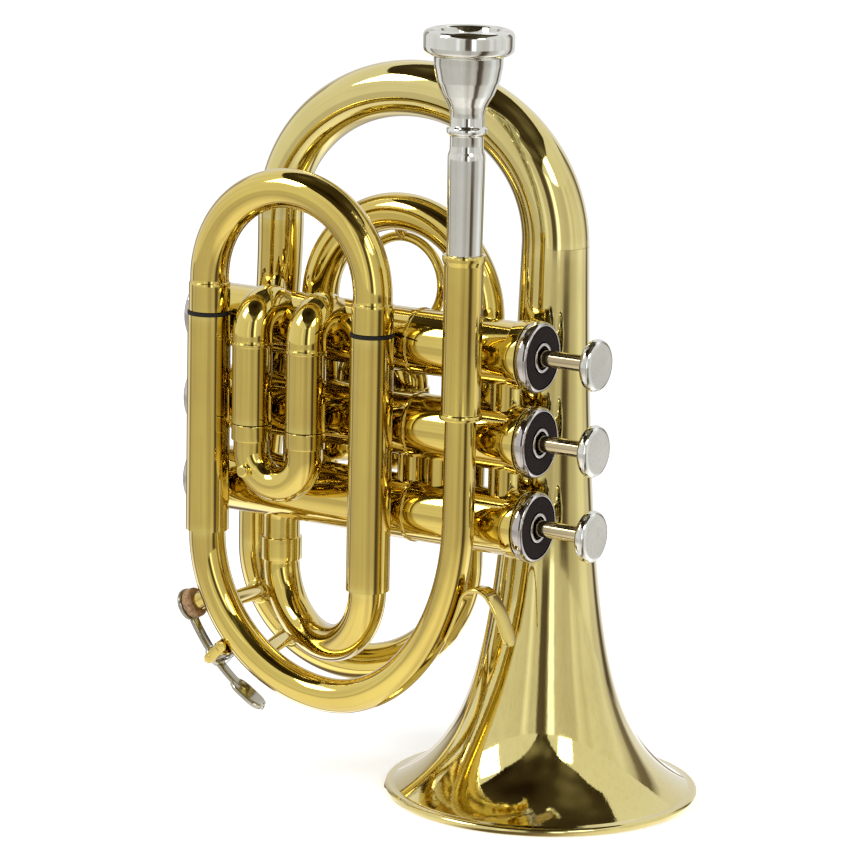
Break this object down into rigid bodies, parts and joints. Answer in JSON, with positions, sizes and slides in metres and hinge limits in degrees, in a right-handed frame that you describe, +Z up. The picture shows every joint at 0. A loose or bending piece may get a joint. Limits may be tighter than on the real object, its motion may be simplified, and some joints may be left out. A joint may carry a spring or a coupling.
{
  "type": "pocket trumpet",
  "caption": "Compact valved brass horn with tightly folded tubing, a flared bell, piston valves, pull-out slides, a water key and a cup mouthpiece, standing on its bell.",
  "frame": {"origin": "under the middle of the whole object's box, on the surface that the bell's rim stands on", "axes": "+Z up along the bell's axis, +X along the valves towards the finger buttons, +Y away from the mouthpiece side"},
  "size_m": [0.1634, 0.105, 0.2409],
  "materials": {
    "lacquered_brass": "bright clear-lacquered yellow brass",
    "silver_plate": "bright silver plate on brass",
    "nickel_plate": "bright nickel plate on brass",
    "spring_steel": "plain drawn wire",
    "black_felt": "pressed felt",
    "black_rubber": "matt",
    "cork": "natural cork"
  },
  "bodies": {
    "horn": {"bell": "lacquered_brass", "bell_bow": "lacquered_brass", "bell_leg": "lacquered_brass", "back_bow": "lacquered_brass", "return_leg": "lacquered_brass", "mouthpiece_receiver": "lacquered_brass", "leadpipe_bow": "lacquered_brass", "tuning_sleeve_left": "lacquered_brass", "tuning_stop_ring_left": "black_rubber", "tuning_sleeve_right": "lacquered_brass", "tuning_stop_ring_right": "black_rubber", "entry_bow": "lacquered_brass", "first_slide_outer_left": "lacquered_brass", "first_slide_outer_right": "lacquered_brass", "second_slide_outer_left": "lacquered_brass", "second_slide_outer_right": "lacquered_brass", "third_slide_outer_left": "lacquered_brass", "third_slide_outer_right": "lacquered_brass", "valve_casing_1": "lacquered_brass", "bottom_cap_1": "nickel_plate", "top_cap_1": "nickel_plate", "cap_felt_1": "black_felt", "valve_guide_1": "nickel_plate", "valve_spring_1": "spring_steel", "valve_casing_2": "lacquered_brass", "bottom_cap_2": "nickel_plate", "top_cap_2": "nickel_plate", "cap_felt_2": "black_felt", "valve_guide_2": "nickel_plate", "valve_spring_2": "spring_steel", "valve_casing_3": "lacquered_brass", "bottom_cap_3": "nickel_plate", "top_cap_3": "nickel_plate", "cap_felt_3": "black_felt", "valve_guide_3": "nickel_plate", "valve_spring_3": "spring_steel", "bow_brace_1": "lacquered_brass", "bow_brace_2": "lacquered_brass", "receiver_brace": "lacquered_brass", "finger_hook": "lacquered_brass", "water_key_nipple": "lacquered_brass", "water_key_saddle": "lacquered_brass", "water_key_spring": "spring_steel"},
    "mouthpiece": {"mouthpiece": "silver_plate"},
    "main_tuning_slide": {"main_tuning_slide": "lacquered_brass"},
    "first_valve_slide": {"first_valve_slide": "lacquered_brass"},
    "second_valve_slide": {"second_valve_slide": "lacquered_brass"},
    "third_valve_slide": {"third_valve_slide": "lacquered_brass", "finger_ring": "lacquered_brass"},
    "water_key": {"water_key_lever": "nickel_plate", "water_key_cork": "cork"},
    "valve_1": {"piston_1": "nickel_plate", "valve_stem_1": "nickel_plate", "finger_button_1": "silver_plate"},
    "valve_2": {"piston_2": "nickel_plate", "valve_stem_2": "nickel_plate", "finger_button_2": "silver_plate"},
    "valve_3": {"piston_3": "nickel_plate", "valve_stem_3": "nickel_plate", "finger_button_3": "silver_plate"}
  },
  "joints": [
    {"name": "mouthpiece_pull", "type": "slide", "parent": "horn", "child": "mouthpiece", "axis": [0, 0, 1], "range_m": [0, 0.03]},
    {"name": "main_tuning_pull", "type": "slide", "parent": "horn", "child": "main_tuning_slide", "axis": [0, 0, 1], "range_m": [0, 0.042]},
    {"name": "first_slide_pull", "type": "slide", "parent": "horn", "child": "first_valve_slide", "axis": [0, 0, -1], "range_m": [0, 0.018]},
    {"name": "second_slide_pull", "type": "slide", "parent": "horn", "child": "second_valve_slide", "axis": [0, 0, 1], "range_m": [0, 0.009]},
    {"name": "third_slide_pull", "type": "slide", "parent": "horn", "child": "third_valve_slide", "axis": [0, 0, 1], "range_m": [0, 0.017]},
    {"name": "valve_1_press", "type": "slide", "parent": "horn", "child": "valve_1", "axis": [-1, 0, 0], "range_m": [0, 0.015], "stiffness_N_per_m": 150, "springref_m": -0.01},
    {"name": "valve_2_press", "type": "slide", "parent": "horn", "child": "valve_2", "axis": [-1, 0, 0], "range_m": [0, 0.015], "stiffness_N_per_m": 150, "springref_m": -0.01},
    {"name": "valve_3_press", "type": "slide", "parent": "horn", "child": "valve_3", "axis": [-1, 0, 0], "range_m": [0, 0.015], "stiffness_N_per_m": 150, "springref_m": -0.01},
    {"name": "water_key_lift", "type": "hinge", "parent": "horn", "child": "water_key", "pos_m": [-0.05942, -0.03896, 0.03821], "axis": [0, -1, 0], "range_deg": [0, 11], "stiffness_Nm_per_rad": 0.05, "springref_deg": -20.05}
  ]
}
